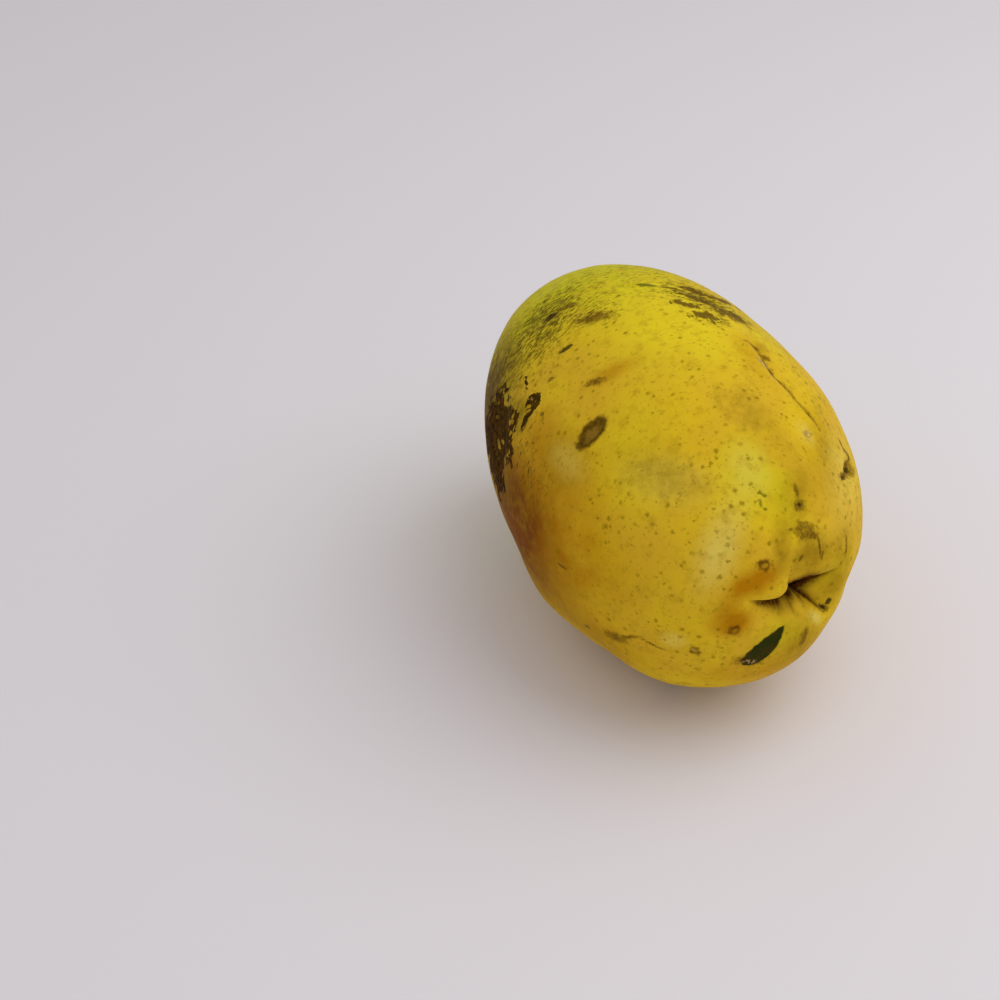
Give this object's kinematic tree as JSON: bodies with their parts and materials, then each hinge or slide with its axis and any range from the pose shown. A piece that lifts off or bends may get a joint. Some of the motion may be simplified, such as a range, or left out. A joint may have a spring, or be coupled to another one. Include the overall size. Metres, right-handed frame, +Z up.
{
  "type": "papaya",
  "caption": "Whole ripe papaya lying on its side, a blunt egg-shaped fruit with a puckered, folded blossom end and a round stem scar.",
  "frame": {"origin": "on the surface that the fruit rests on, under the centre of its bounding box", "axes": "+Z is up; the fruit's long axis runs along X, with the puckered blossom end at +X and the stem scar at -X"},
  "size_m": [0.1386, 0.0892, 0.0939],
  "materials": {
    "papaya_skin": "waxy yellow skin, satin, with green and orange blushes, dark speckles and brown scars"
  },
  "bodies": {
    "root": {"papaya_fruit": "papaya_skin"}
  },
  "joints": []
}
